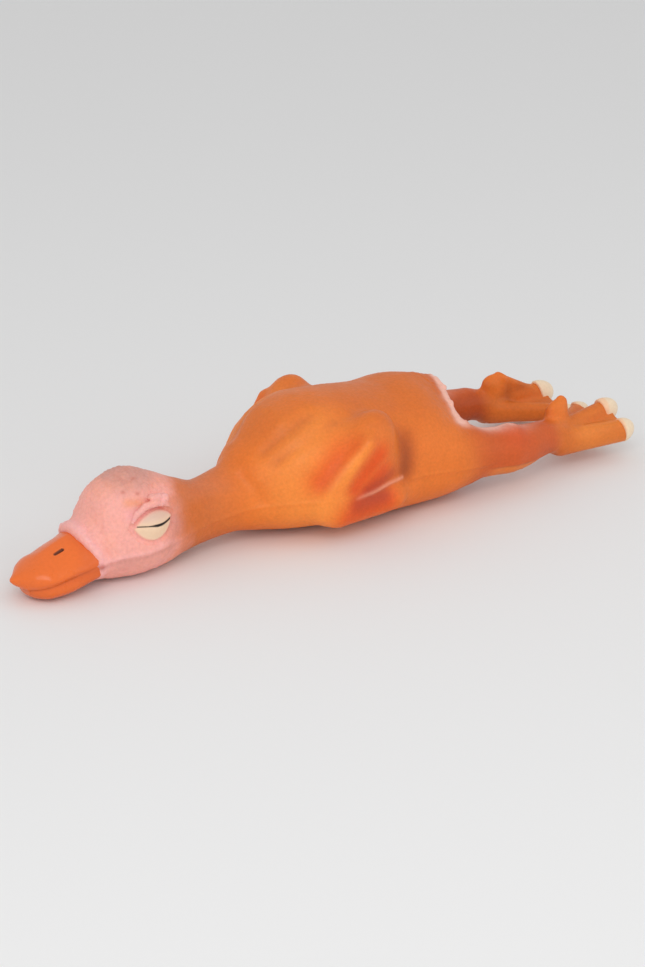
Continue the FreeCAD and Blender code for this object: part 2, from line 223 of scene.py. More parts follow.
# place along X, half width, height above the seam, depth below it, height of the seam
TRUNK = [
    (-164, 15, 13, 9, 13),
    (-156, 17.5, 16, 10.5, 14.5),
    (-150, 17.6, 18.3, 12, 15.5),
    (-144.5, 18.2, 21, 13.5, 16.2),
    (-141, 19.2, 28.5, 15, 17),
    (-136, 20.5, 34, 17, 18),
    (-121, 24, 38.3, 18, 18),
    (-106, 21, 33, 17.5, 18),
    (-91, 17, 24.5, 16, 19),
    (-76, 15, 18.5, 15.3, 20),
    (-61, 17, 19.2, 16, 22),
    (-46, 25, 28.6, 19.8, 24),
    (-29, 37, 42, 24, 26),
    (-11, 44.5, 44.5, 26, 27),
    (14, 45, 42.3, 26.8, 27),
    (39, 44, 40.3, 26.5, 26),
    (61, 45, 43.5, 24, 24),
    (79, 42, 41.5, 19.5, 22),
    (90, 38, 36, 15.5, 21.5),
    (112, 24, 29, 10, 21),
]
RUMP_PLANE = (83, 46, 0.34)  # the rump's rear face: place along X, and its slope above that height
VENT = ((104, 0, 31), (18.5, 12, 17))  # the hollow between the legs: middle and radii

# as above, with the place to the side
LEG = [
    (46, 15, 16, 16, 28, -20),
    (66, 17.5, 17, 16, 27, -26),
    (84, 14.8, 16, 15, 24.5, -30),
    (97, 13.2, 13.6, 13.6, 23, -33),
    (108, 12.8, 13.0, 13.8, 23, -35.5),
    (120, 11.2, 11.8, 12, 22, -35.5),
    (134, 9.6, 10.2, 9.6, 22, -34),
    (147, 9, 10, 8.6, 19.5, -32.5),
    (156, 8, 8, 7, 17, -31.5),
]
HOCK = ((109, -36.5, 31), (7, 6.5, 6.2))  # middle and radii

# root, tip, radius at the root and at the tip, and how much taller than wide
TOES = {
    "outer": ((150, -35, 16.8), (191, -43, 16.8), 6.0, 5.0, 1.35),
    "middle": ((150, -31.5, 20), (190, -28.7, 25.3), 5.6, 4.6, 1.35),
    "inner": ((150, -28.5, 17.5), (190.5, -7, 18.6), 5.6, 4.2, 1.2),
}
WEBS = [  # corners of each
    ((148, -33, 19), (192, -42, 18), (191, -29, 24.5)),
    ((148, -31, 18.5), (191, -28.5, 23.5), (191, -7.5, 17)),
]
WEB_THICK = 1.7  # half of it
TOE_END = 193.5  # along X
FOOT_SLACK = {"left": (0, 0), "right": (3.8, 0.11)}     # how far a foot is drawn out, and its slope down
CLAWS = {  # middle and radii
    "outer": ((189, -43.2, 17), (10.2, 5.6, 7.5)),
    "middle": ((188.5, -28.7, 24.8), (11.6, 5.5, 8.0)),
    "inner": ((188, -7, 18.7), (10.2, 4.8, 5.6)),
}
CLAW_START = (191.5, 0.28)  # where a claw starts along X low down, and how far it leans back
LEG_SEAM = ((70, 101, 134), (19.6, 18, 15.3))  # along X, and its height there
# point, radius, and how much thinner across
SPUR = [((149.5, -30, 22), 9, 0.6), ((151, -29, 33), 6.8, 0.5), ((154.5, -28.2, 39.4), 2.4, 0.8)]
SPUR_REAR = ((157, -30, 18), (157, -28, 37.5), 3.4, 2.6)
SPUR_CREASE = ((139, -38, 26), (154, -37, 20))
SPUR_WEB = {"left": ((156.5, -27, 38.3), (160, -28, 25), (152, -29, 22), 2.1),  # corners, half thickness
            "right": ((157, -27, 38.3), (180, -28, 29), (152, -29, 22), 2.1)}

BILL_EDGE = (-149.3, 5, 17, 32)  # rear edge low on the side, its reach forward on top, between two heights
# as for the trunk
UPPER_BILL = [
    (-189, 0.9, 0.7, 0.9, 12.8),
    (-186, 3.9, 2.8, 3.4, 12.5),
    (-180, 11.2, 6.5, 5.6, 12.2),
    (-173, 15.6, 9.4, 5, 13),
    (-163, 17.3, 11.4, 5.4, 15),
    (-156, 17.8, 12.6, 5.6, 16),
    (-146, 18, 14.6, 5.8, 16.4),
]
LOWER_BILL = [
    (-181, 5, 3.4, 2.6, 6.1),
    (-178.5, 9.6, 4.6, 4.6, 6.2),
    (-172.5, 14.8, 6, 6.6, 6.8),
    (-163, 16.8, 7, 7, 8),
    (-154, 17.6, 8, 6.4, 10),
    (-146, 17.9, 8.6, 5.6, 11.6),
]
MOUTH = (-149.5, 16, 0.26)  # the mouth line: its corner along X and up, and its slope
MOUTH_GAP = 0.04  # half of it
NOSTRILS = {"left": ((-166.6, -6.2, 23.5), (-162.4, -6.2, 24.5), 0.85),
            "right": ((-167.4, -12, 19.8), (-162.6, -12, 20.8), 0.9)}  # ends and radius
EYE = (-117, 32.1)  # middle of the closed eye, along X and up
EYE_TILT = -4
LIDS = {"upper": (14.9, -8.6, 0.9), "lower": (12.9, 4.5, -0.9)}    # radius, rise and shift of each arc
BROW = [((-130, -21, 35.5), 0.9), ((-127.6, -21.6, 39.6), 1.4), ((-122.6, -21.9, 42.6), 1.7),
        ((-116.5, -21.6, 42.8), 1.9), ((-108.5, -19.6, 38.9), 2.0)]
BROW_LUMPS = [((-109.8, -18.6, 42.6), (3.0, 2.8, 2.6)), ((-113.8, -19, 44.6), (3.2, 2.4, 1.8)),
              ((-117.2, -19.4, 45.6), (2.4, 2.2, 1.4))]
HEAD_CURLS = (((-129.2, 24), 2.3), ((-137.5, 23), 2.6))  # middle along X and up, and radius
HEAD_MARKS = ((-129.6, -12.5, 48.8), (-122.8, -15.5, 47.5), (-121.2, -9.6, 53.7))
JAW_SEAM = [(-149.1, -17, 16.1), (-135.7, -20.5, 18.2), (-125.3, -23.3, 18.2), (-112.1, -22.8, 19.6),
            (-97.7, -19, 19.7)]
WING_FLASH = [(-7, -44.7, 24.8), (3.5, -45.8, 26.2), (13.7, -46, 28.5), (24.4, -45, 29.3)]
SHOULDER_CREASES = [
    [((-17, -20, 69), 1.6), ((-34, -19, 60), 2.0), ((-44, -15, 52), 1.2)],
    [((0, -27.5, 67), 1.4), ((-17, -30.5, 63.3), 1.5), ((-30, -28.5, 57), 1.5), ((-41, -22.5, 48.2), 1.0)],
    [((-57.5, -13, 39.5), 1.2), ((-55.5, -19.5, 34.2), 1.5), ((-53, -22.5, 28.5), 1.2)],
]
ELBOW_DIP = [((33, -40, 57), 3), ((31.5, -47, 45), 4.5), ((27, -49.5, 35), 3.4), ((19, -51, 30), 2)]
SQUEAKER = 12.0  # its place along X
SQUEAKER_HOLE = (SQUEAKER, 9.3, 15.6)  # in the skin: along X, radius and top
SQUEAKER_POCKET = (SQUEAKER, 13, 20)  # in the wad

# low and high corners of the grids, those on a side for the left one
SKIN_BOX = (-166, -57, -3), (206, 57, 80)
BILL_BOX = (-191, -21, -1), (-144, 21, 38)
EYELID_BOX = (-133, -31, 17), (-101, -13, 45)
CLAW_BOX = (180, -51, 1), (207, 1, 36)
FILL_BOX = (-40, -44, 3), (92, 44, 68)

# the part of the skin that each feature changes, on the left
HEAD_REACH = (-145, -60, 5), (-95, 3, 62)
SHOULDER_REACH = (-64, -60, -3), (56, 4, 90)
WING_REACH = (-50, -60, -3), (56, -2, 90)
LEG_REACH = (40, -60, -4), (206, 12, 60)
FOOT_REACH = (116, -60, -4), (206, 6, 60)
HOLE_REACH = (SQUEAKER - 14, -14, -4), (SQUEAKER + 14, 14, 18)


def on_side(box, sign):
    """A box of the left side, or its mirror image on the right."""
    (x0, y0, z0), (x1, y1, z1) = box
    y0, y1 = sorted((-sign * y0, -sign * y1))
    return (x0, y0, z0), (x1, y1, z1)


def bill_edge(z):
    side, forward, low, high = BILL_EDGE
    return side - forward * ramp(z, low, high)


def eye_plane(at):
    """Distances along and across the closed eye, in the plane of the bird's side."""
    c, s = math.cos(math.radians(EYE_TILT)), math.sin(math.radians(EYE_TILT))
    px, pz = at.x - EYE[0], at.z - EYE[1]
    return c * px + s * pz, -s * px + c * pz


def almond(at):
    """Distance to the eye's outline, an almond between two arcs."""
    along, across = eye_plane(at)
    arcs = [np.sqrt((along - shift) ** 2 + (across - rise) ** 2) - radius
            for radius, rise, shift in LIDS.values()]
    return np.maximum(*arcs)


def eye_line(at):
    """Distance to the line where the lids meet, and how thick the line is there."""
    along, across = eye_plane(at)
    level = -0.8 * hump(along, 2.5, 6) + 0.03 * along
    thick = 0.2 + 0.42 * ramp(along, -5, 0.5) * (1 - 0.8 * ramp(along, 9.5, 12.5))
    return np.abs(across - level), thick


def head_features(at, skin):
    """Brow ridge, and the hollow round the closed eye."""
    lumps = joined([at.egg(*lump) for lump in BROW_LUMPS], 1.0)
    skin = smooth_min(skin, np.minimum(at.chain(BROW), lumps), 2.0)
    ring = np.abs(almond(at) - 1.2) - 1.0
    hollow = np.maximum(ring, np.abs(skin) - 1.2)
    return smooth_max(skin, -hollow, 1.2)


def wing_field(at):
    """Folded wing: an elbow lobe high at the back, a forearm ridge running down and forward to the wrist,
    and the hand lying back along the seam."""
    elbow = at.egg((9, -36, 47.5), (14.8, 12.5, 20), turn_y=18)
    forearm = at.limb((1, -45.5, 54), (-19, -40, 31), 3.2, 4.6)
    wrist = at.egg((-17, -36.5, 20.5), (10.5, 8.8, 9.6))
    hand = at.limb((-13, -38, 16.6), (20, -43.5, 18.4), 7.8, 5.4)
    wing = smooth_min(smooth_min(elbow, forearm, 6), smooth_min(wrist, hand, 4), 6)
    rear_fold = at.chain([((12, -51.5, 38), 2.6), ((2, -50.5, 32), 3.2), ((-6, -48.5, 28.5), 2.2)])
    wing = smooth_max(wing, -rear_fold, 7)
    under = at.chain([((22, -50, 29), 1.6), ((8, -51, 27), 2.2), ((-3, -49.5, 24), 1.4)])
    return smooth_max(wing, -under, 4)


def shoulder_folds(at, skin):
    """The hollow in front of the forearm and the creases over the shoulder."""
    front = at.limb((-9, -49.5, 51), (-25, -45.5, 36), 2.4, 3.0)
    skin = smooth_max(skin, -front, 10)
    for knots in SHOULDER_CREASES:
        skin = smooth_max(skin, -at.chain(knots), 7)
    return skin


def toe_field(at, toe):
    root, tip, root_radius, tip_radius, tall = TOES[toe]
    return at.limb(root, tip, root_radius, tip_radius, (1, 1, tall))


def foot_field(at):
    toes = joined([toe_field(at, name) for name in TOES], 2)
    return smooth_max(joined([toes, *(at.sheet(*corners, WEB_THICK) for corners in WEBS)], 3),
                      at.x - TOE_END, 1.0)


def spur_field(at, side):
    spur = smooth_min(at.limb(*SPUR_REAR), at.sheet(*SPUR_WEB[side]), 2)
    for (start, r0, thin), (end, r1, _) in zip(SPUR, SPUR[1:]):
        spur = smooth_min(spur, at.limb(start, end, r0, r1, (1, thin, 1)), 2.5)
    return spur


def rump_plane(at):
    along, level, slope = RUMP_PLANE
    return (at.x - along - slope * np.maximum(at.z - level, 0)) / math.hypot(1, slope)


def trunk_field(at):
    top = 2 - 0.8 * ramp(at.x, 46, 86)
    bottom = 2 + 0.6 * ramp(at.x, -20, 30) - 0.3 * ramp(at.x, 80, 100)
    trunk = at.tube(TRUNK, top, bottom)
    trunk = smooth_max(trunk, rump_plane(at), 2.5)
    return smooth_max(trunk, (bill_edge(at.z) - at.x) * 0.9, 2)


def leg_field(at):
    return smooth_min(at.tube(LEG), at.egg(*HOCK), 3.5)


def each_side(space, field, box, change):
    """Change a grid's field inside a box of the left side and in its mirror image on the right. `change`
    gets the points as the left side's features see them, the field there, and the side."""
    for side, sign in SIDES.items():
        at, cells = space.window(*on_side(box, sign))
        field[cells] = change(at.facing(sign).slack(side), field[cells], side)


def skin_field(space):
    """The whole skin on a grid."""
    skin = np.array(np.broadcast_to(trunk_field(space), space.shape))
    each_side(space, skin, HEAD_REACH, lambda at, field, side: head_features(at, field))
    each_side(space, skin, SHOULDER_REACH, lambda at, field, side: shoulder_folds(at, field))
    each_side(space, skin, WING_REACH, lambda at, field, side: smooth_max(
        smooth_min(field, wing_field(at), 8), -at.chain(ELBOW_DIP), 3.5))
    each_side(space, skin, LEG_REACH, lambda at, field, side: smooth_min(field, leg_field(at), 7))
    skin = smooth_max(skin, -space.egg(*VENT), 4)
    each_side(space, skin, FOOT_REACH, lambda at, field, side: smooth_min(
        field, smooth_min(foot_field(at), spur_field(at, side), 2.5), 4))
    at, cells = space.window(*HOLE_REACH)
    skin[cells] = smooth_max(skin[cells], -at.bore(*SQUEAKER_HOLE), 0.8)
    return smooth_max(skin, -space.z, 1.0)


# -------- random detail

TABLE = np.random.default_rng(11).uniform(-1, 1, (32, 32, 32))


def blend_corners(table, base, part):
    """Blend a table's values at the eight corners of each cell, for a place inside the cell."""
    total = np.zeros(len(part))
    for corner in np.ndindex(2, 2, 2):
        weight = np.prod(np.where(np.array(corner) == 1, part, 1 - part), axis=1)
        i, j, k = ((base + corner) % table.shape).T
        total += weight * table[i, j, k]
    return total


def grain(points, size, shift=0.0):
    """Smooth noise, about -1 to 1, with features of a given size."""
    cell = points / size + shift
    base = np.floor(cell).astype(int)
    part = cell - base
    return blend_corners(TABLE, base, part * part * (3 - 2 * part))


def layered(points, size, shift=0.0):
    """Noise in three layers, each half as coarse and half as strong as the one before."""
    return sum(grain(points, size / 2 ** n, shift + 5.3 * n) / 2 ** n for n in range(3)) / 1.75


def wrinkle(points, size, shift=0.0):
    """Meandering creases: 0 between them and 1 along them."""
    warp = np.stack([grain(points, size * 1.7, shift + n) for n in (3.1, 7.7, 13.9)], axis=1)
    return (1 - np.abs(grain(points + warp * size * 0.8, size, shift))) ** 4


def pimples(points, spacing, radius):
    """Raised dots scattered about `spacing` apart."""
    cell = points / spacing
    base = np.floor(cell).astype(int)
    nearest = np.full(len(points), 9.0)
    for step in np.ndindex(3, 3, 3):
        near = base + step - 1
        i, j, k = (near % TABLE.shape).T
        dot = near + 0.5 + 0.4 * np.stack([TABLE[i, j, k], TABLE[j, k, i], TABLE[k, i, j]], axis=1)
        nearest = np.minimum(nearest, np.sqrt(((cell - dot) ** 2).sum(1)))
    return ramp(nearest * spacing, radius, 0.0)


# -------- fields to meshes

def sample(field, space, points):
    """Field values at points, by trilinear interpolation."""
    cell = (points - space.low) / space.step
    base = np.clip(np.floor(cell).astype(int), 0, np.array(field.shape) - 2)
    return blend_corners(field, base, cell - base)


def gradient(field, space, points):
    """Direction in which the field grows, one unit long."""
    step = space.step * 0.75
    slope = np.stack([sample(field, space, points + ahead) - sample(field, space, points - ahead)
                      for ahead in step * np.eye(3)], axis=1)
    return slope / np.maximum(np.linalg.norm(slope, axis=1, keepdims=True), 1e-9)


def surface(space, field):
    """Points and faces of the field's zero surface, pulled onto it, and the directions out of it. Every
    face has four corners; a triangle repeats its last one."""
    grid = openvdb.FloatGrid(20.0)
    grid.copyFromArray(np.ascontiguousarray(field, dtype=np.float32))
    points, triangles, quads = grid.convertToPolygons(isovalue=0.0, adaptivity=0.0)
    points = points.astype(float) * space.step + space.low
    for _ in range(2):
        out = gradient(field, space, points)
        points -= out * np.clip(sample(field, space, points), -0.5, 0.5)[:, None] * 0.8
    triangles = np.asarray(triangles, int).reshape(-1, 3)
    quads = np.asarray(quads, int).reshape(-1, 4)
    faces = np.concatenate([quads, np.column_stack([triangles, triangles[:, 2]])])
    return points, faces, gradient(field, space, points)


def vertex_normals(points, faces):
    """Area-weighted normals of the points of a mesh."""
    a, b, c, d = (points[faces[:, n]] for n in range(4))
    face_normal = np.cross(c - a, d - b)
    normals = np.zeros_like(points)
    for n in range(4):
        np.add.at(normals, faces[:, n], face_normal)
    return normals / np.maximum(np.linalg.norm(normals, axis=1, keepdims=True), 1e-12)


def close_borders(mesh):
    """Close the open borders of a piece on its inside, where it meets the next piece."""
    work = bmesh.new()
    work.from_mesh(mesh)
    filled = bmesh.ops.holes_fill(work, edges=work.edges, sides=0)["faces"]
    if filled:
        bmesh.ops.triangulate(work, faces=filled)
        work.to_mesh(mesh)
    work.free()


def add_object(name, data):
    made = bpy.data.objects.new(name, data)
    bpy.context.scene.collection.objects.link(made)
    return made


def edges_of(faces):
    """Every edge of every face, and the face that it belongs to."""
    edges = np.concatenate([faces[:, (n, (n + 1) % 4)] for n in range(4)])
    real = edges[:, 0] != edges[:, 1]
    return edges[real], np.tile(np.arange(len(faces)), 4)[real]


def skirt(faces, count):
    """A narrow band that turns in under the open borders of a piece with `count` points: the points of
    those borders and the band's faces, with the new points numbered on from the old ones."""
    edges, _ = edges_of(faces)
    there, back = edges[:, 0] * count + edges[:, 1], edges[:, 1] * count + edges[:, 0]
    edges = edges[~np.isin(back, there)]
    border, local = np.unique(edges, return_inverse=True)
    inner = local.reshape(-1, 2) + count
    return border, np.column_stack([edges[:, 1], edges[:, 0], inner[:, 0], inner[:, 1]])


def build(name, slot, points, faces, paint, rest=None, normals=None):
    """A piece from points in millimetres of the form, with its paint and the places of its texture."""
    rest = points if rest is None else rest
    normals = vertex_normals(points, faces) if normals is None else normals
    used, faces = np.unique(faces, return_inverse=True)
    faces = faces.reshape(-1, 4)
    points, rest, paint, normals = points[used], rest[used], paint[used], normals[used]
    border, band = skirt(faces, len(points))
    inner = points[border] - normals[border] * SKIRT
    points, faces = np.concatenate([points, inner]), np.concatenate([faces, band]).tolist()
    rest, paint, normals = (np.concatenate([mark, mark[border]]) for mark in (rest, paint, normals))
    mesh = bpy.data.meshes.new(name)
    mesh.from_pydata(((points + DRAWN_AT) * MM).tolist(), [],
                     [face if face[2] != face[3] else face[:3] for face in faces])
    paint = np.column_stack([np.clip(paint, 0, 1), np.ones(len(paint))])
    for mark, kind, key, values in (("rest", "FLOAT_VECTOR", "vector", rest),
                                    ("paint", "FLOAT_COLOR", "color", paint)):
        mesh.attributes.new(mark, kind, "POINT").data.foreach_set(key, values.astype(np.float32).ravel())
    close_borders(mesh)
    mesh.polygons.foreach_set("use_smooth", [True] * len(mesh.polygons))
    mesh.update()
    mesh.normals_split_custom_set_from_vertices(normals.tolist())
    piece = add_object(name, mesh)
    mesh.materials.append(FINISH[slot])
    return piece


# -------- materials

NOISE_RANGE = (0.3, 0.7)


def mark(nodes, name):
    node = nodes.new("ShaderNodeAttribute")
    node.attribute_name = name
    return node


def texture(tree, where, kind, size, detail=3.0):
    node = tree.nodes.new(f"ShaderNodeTex{kind}")
    node.inputs["Scale"].default_value = 1.0 / size
    if kind == "Noise":
        node.inputs["Detail"].default_value = detail
    tree.links.new(where, node.inputs["Vector"])
    return node.outputs["Distance" if kind == "Voronoi" else "Fac"]


def between(tree, value, low, high):
    """A noise texture's usual range of values, spread between two others."""
    node = tree.nodes.new("ShaderNodeMapRange")
    for name, bound in zip(("From Min", "From Max", "To Min", "To Max"), (*NOISE_RANGE, low, high)):
        node.inputs[name].default_value = bound
    tree.links.new(value, node.inputs["Value"])
    return node.outputs["Result"]


def material(name, roughness, bumps, colour=None, coat=0.0, specular=0.25, subsurface=0.0, mottle=0.06,
             metallic=0.0, unit=1.0):
    """A finish with fine mottling. Its colour is the piece's paint, or one given here for a CAD node.
    `bumps` are (kind, size in mm, strength, height in mm), and `unit` is the texture's millimetre."""
    made = bpy.data.materials.new(name)
    made.use_nodes = True
    tree = made.node_tree
    nodes, links = tree.nodes, tree.links
    shader = nodes["Principled BSDF"]
    for socket, value in (("Specular IOR Level", specular), ("Coat Weight", coat), ("Coat Roughness", 0.14),
                          ("Subsurface Weight", subsurface), ("Subsurface Radius", (1.0, 0.35, 0.15)),
                          ("Subsurface Scale", 0.003), ("Metallic", metallic)):
        shader.inputs[socket].default_value = value
    mix = nodes.new("ShaderNodeMix")
    mix.data_type, mix.blend_type = "RGBA", "MULTIPLY"
    mix.inputs["Factor"].default_value = 1.0
    if colour is None:
        where = mark(nodes, "rest").outputs["Vector"]
        links.new(mark(nodes, "paint").outputs["Color"], mix.inputs["A"])
    else:
        where = nodes.new("ShaderNodeTexCoord").outputs["Object"]
        mix.inputs["A"].default_value = (*colour, 1)
    blotch = texture(tree, where, "Noise", 1.6 * unit, 4.0)
    links.new(between(tree, blotch, 1 - mottle, 1 + mottle), mix.inputs["B"])
    links.new(mix.outputs["Result"], shader.inputs["Base Color"])
    wear = texture(tree, where, "Noise", 9.0 * unit)
    links.new(between(tree, wear, roughness - 0.06, roughness + 0.06), shader.inputs["Roughness"])
    normal = None
    for kind, size, strength, height in bumps:
        bump = nodes.new("ShaderNodeBump")
        bump.inputs["Strength"].default_value = strength
        bump.inputs["Distance"].default_value = height * MM
        links.new(texture(tree, where, kind, size * unit), bump.inputs["Height"])
        if normal is not None:
            links.new(normal, bump.inputs["Normal"])
        normal = bump.outputs["Normal"]
    links.new(normal, shader.inputs["Normal"])
    return made


PORES = [("Noise", 0.9, 0.6, 0.25), ("Voronoi", 1.3, 0.35, 0.18)]
LATEX = {"bumps": PORES, "subsurface": 0.06}
LOOKS = {
    "body_latex": dict(roughness=0.44, **LATEX),
    "wing_latex": dict(roughness=0.42, **LATEX),
    "head_latex": dict(roughness=0.46, bumps=[("Noise", 1.4, 0.7, 0.35), *PORES], subsurface=0.08),
    "leg_latex": dict(roughness=0.44, **LATEX),
    "foot_latex": dict(roughness=0.42, **LATEX),
    "bill_paint": dict(roughness=0.32, bumps=[("Noise", 2.5, 0.3, 0.2)], coat=0.25, mottle=0.03),
    "eyelid_paint": dict(roughness=0.42, bumps=[("Noise", 1.2, 0.25, 0.15)], mottle=0.02),
    "claw_paint": dict(roughness=0.36, bumps=[("Noise", 1.2, 0.3, 0.15)], mottle=0.04),
    "fibre": dict(roughness=0.9, bumps=[("Noise", 0.7, 1.0, 0.6), ("Noise", 3.0, 0.8, 1.2)], mottle=0.05),
    "squeaker_plastic": dict(roughness=0.3, bumps=[("Noise", 1.5, 0.2, 0.05)], colour=(0.82, 0.82, 0.8),
                             mottle=0.02, unit=MM),
    "reed_plastic": dict(roughness=0.55, bumps=[("Noise", 0.8, 0.3, 0.05)], colour=(0.75, 0.72, 0.6),
                         mottle=0.03, unit=MM),
    "reed_brass": dict(roughness=0.25, bumps=[("Noise", 0.5, 0.2, 0.02)], colour=(0.72, 0.52, 0.22),
                       mottle=0.03, metallic=1.0, unit=MM),
}
FINISH = {name: material(name, **look) for name, look in LOOKS.items()}


# -------- paint

ORANGE = (0.8, 0.19, 0.026)
PALE_ORANGE = (0.98, 0.3, 0.052)
BROWN_ORANGE = (0.62, 0.158, 0.038)
PINK = (0.96, 0.43, 0.36)
MAUVE = (0.6, 0.25, 0.21)
GREY_PINK = (0.68, 0.32, 0.26)
BRIGHT_PINK = (0.95, 0.47, 0.45)
PEACH = (0.9, 0.36, 0.22)
RED_ORANGE = (0.78, 0.105, 0.022)
DARK_RED = (0.44, 0.05, 0.02)
SHADED_BACK_ORANGE = (0.7, 0.162, 0.026)
PALE_PINK = (0.9, 0.49, 0.39)
SHADE_BROWN = (0.32, 0.065, 0.014)
BILL_ORANGE = (0.85, 0.165, 0.026)
UNDERBILL = (0.8, 0.155, 0.026)
NOSTRIL_BROWN = (0.05, 0.008, 0.003)
CREAM = (0.88, 0.63, 0.43)
SHADED_CREAM = (0.78, 0.56, 0.44)
LASH_BLACK = (0.012, 0.008, 0.008)
CLAW_CREAM = (0.88, 0.7, 0.5)
FIBRE_WHITE = (0.8, 0.8, 0.77)


class Coat:
    """The colours of a list of points, painted in layers."""

    def __init__(self, colour, count):
        self.colour = np.tile(np.array(colour), (count, 1))

    def spray(self, colour, amount):
        """Paint sprayed over the colours so far."""
        amount = np.clip(amount, 0, 1)[:, None]
        self.colour = self.colour * (1 - amount) + np.array(colour) * amount

    def shade(self, tint, amount):
        """Darken the colours so far towards a tint: painted shade in some places, darker and warmer paint
        in others.
        """
        self.colour = self.colour * (1 - np.clip(amount, 0, 1)[:, None] * (1 - np.array(tint)))


def spot(at, middle, radii):
    """A soft round spot of paint."""
    return np.exp(-sum(((value - m) / r) ** 2 for value, m, r in zip((at.x, at.y, at.z), middle, radii)))


def stroke(at, start, end, width):
    """A soft line of paint."""
    return np.exp(-(np.maximum(at.limb(start, end, 0, 0), 0) / width) ** 2)


def paint_body(coat, at, cloud, fine):
    coat.spray(PALE_ORANGE, 0.85 * hump(at.x, -25, 32) * ramp(-at.y, 8, 28) + 0.2 * cloud)
    neck = ramp(at.x, -108, -96) * fall(at.x, -80, -50)
    coat.spray(BROWN_ORANGE, 0.85 * neck)
    coat.spray(GREY_PINK, 0.16 * neck * ramp(at.z, 30, 38))
    # Painted shade: the top of the back is painted darker, standing in for the shade that falls on it.
    upper = ramp(at.z, 44, 62)
    coat.spray(SHADED_BACK_ORANGE, upper * ramp(at.x, -15, 20) * (0.8 + 0.5 * fine))
    coat.spray(BROWN_ORANGE, upper * (0.3 * fall(at.x, -40, 10) + 0.25 * np.clip(fine, 0, 1)))
    behind_elbow = stroke(at, (32, -42, 50), (27, -45, 33), 6.5)
    coat.shade((0.95, 0.72, 0.5), behind_elbow)
    coat.spray(SHADE_BROWN, 0.85 * behind_elbow)
    # Painted shade: brown sprayed along the shoulder creases, where shade falls.
    creases = stroke(at, (-17, -19, 67), (-44, -14, 50), 2.2)
    creases += stroke(at, (-6, -27, 62), (-41, -21, 46), 2.4)
    coat.spray(BROWN_ORANGE, 0.45 * creases)


def paint_rear(coat, at, cloud, fine, downward, inward):
    red = ramp(at.x, 68, 94) * fall(at.x, 134, 154) * (0.85 + 0.3 * cloud)
    coat.spray(BROWN_ORANGE, 0.9 * red)
    coat.spray(RED_ORANGE, 0.45 * red + 0.5 * spot(at, (109, -38, 31), (10, 10, 9)))
    inner = ramp(inward, 0.1, 0.8) * ramp(at.x, 88, 100) * (1 - 0.6 * ramp(at.x, 135, 160))
    coat.spray(SHADE_BROWN, 0.3 * inner * fall(at.z, 30, 38))
    # Painted shade: the rump's rear face is painted dark red and darkened, and the legs' inner sides are
    # darkened.
    face = ramp(rump_plane(at), -2.5, 0.5) * fall(at.x, 108, 122) * fall(-at.y, 22, 30)
    coat.spray(DARK_RED, 0.75 * face)
    coat.shade((0.87, 0.78, 0.7), ramp(at.x, 58, 90) * fall(at.x, 140, 152))
    coat.shade((0.95, 0.72, 0.45), face + 0.25 * inner)
    under = ramp(at.x, 88, 100) * fall(at.x, 150, 170) * ramp(downward, 0.2, 0.8)
    coat.spray(SHADE_BROWN, 0.4 * under)
    # Painted highlight: pale pink along the rump's ragged rim and over the top of the leg, where the light
    # catches them.
    edge = hump(rump_plane(at) + 1.6 * fine, -3.0, 4.4) * fall(-at.y, 29, 36) * ramp(at.z, 32, 42)
    coat.spray(PALE_PINK, edge * (1.05 + 0.5 * fine))
    lit_leg_top = stroke(at, (92, -30, 38.5), (108, -34, 36), 5.2)
    coat.spray(PALE_PINK, lit_leg_top * (1.0 + 0.5 * fine) * ramp(at.z, 27, 32))
    coat.spray(PALE_PINK, 0.3 * spot(at, (119, -34, 32.5), (6, 6, 3)))
    coat.spray(ORANGE, 0.85 * ramp(at.x, 136, 152))
    # Painted shade: brown in the hollows of the webs between the toes.
    off_toes = np.minimum.reduce([toe_field(at, name) for name in TOES])
    shaded_web = ramp(off_toes, 0.2, 2.5) * ramp(at.x, 152, 162) * fall(at.z, 32, 36)
    coat.spray(BROWN_ORANGE, 0.45 * shaded_web)
    over, shown = leg_seam(at)
    coat.spray(PALE_ORANGE, 0.6 * shown * ramp(over, 0.5, -2.5))
    coat.spray(SHADE_BROWN, 0.4 * spot(at, (161, -28, 28), (4, 7, 8)))
    # Painted shade: dark red in the crease at the base of the hallux.
    coat.spray(DARK_RED, 0.4 * stroke(at, *SPUR_CREASE, 1.8))
    coat.spray(PALE_ORANGE, 0.6 * ramp(at.x, 150, 165) * hump(at.y, -41, 6))
    on_spur = ramp(at.z, 26, 32) * fall(at.x, 164, 170)
    coat.shade((0.87, 0.88, 0.9), ramp(at.x, 136, 152) * (1 - on_spur))


def paint_wings(coat, at):
    red = 0.85 * stroke(at, (-9.5, -43, 55), (-25, -39, 37), 8.5)
    for start, end, width in (((6, -48, 47), (-7, -46, 31), 7.5), ((9, -48, 37), (-9, -45, 20), 8),
                              ((-12, -44, 16.5), (12, -46, 20), 8.5)):
        red = np.maximum(red, stroke(at, start, end, width))
    red = red * ramp(at.z, 1, 8)
    coat.spray(RED_ORANGE, red)
    coat.shade((1, 0.94, 0.6), red)
    coat.spray(DARK_RED, 0.75 * stroke(at, (17, -48, 33), (1, -47, 27.5), 4.5))
    coat.spray(DARK_RED, 0.75 * stroke(at, (-6, -45, 21), (9, -48, 23.5), 5.5))
    # Painted highlight: peach along the thin ridge of the moulding flash under the elbow.
    coat.spray(PEACH, 0.7 * hump(off_line(at, WING_FLASH), 0, 1.0))
    # Painted highlight: pale orange along the forearm's ridge and down the wrist's front edge.
    lit_crest = stroke(at, (-1.4, -47.7, 54), (-22.4, -42.2, 30), 2.6)
    coat.spray(PALE_ORANGE, lit_crest * (1 - 0.5 * ramp(at.z, 46, 54)))
    coat.spray(PALE_ORANGE, 0.8 * stroke(at, (-25, -41, 25), (-25, -38, 15), 4.5))


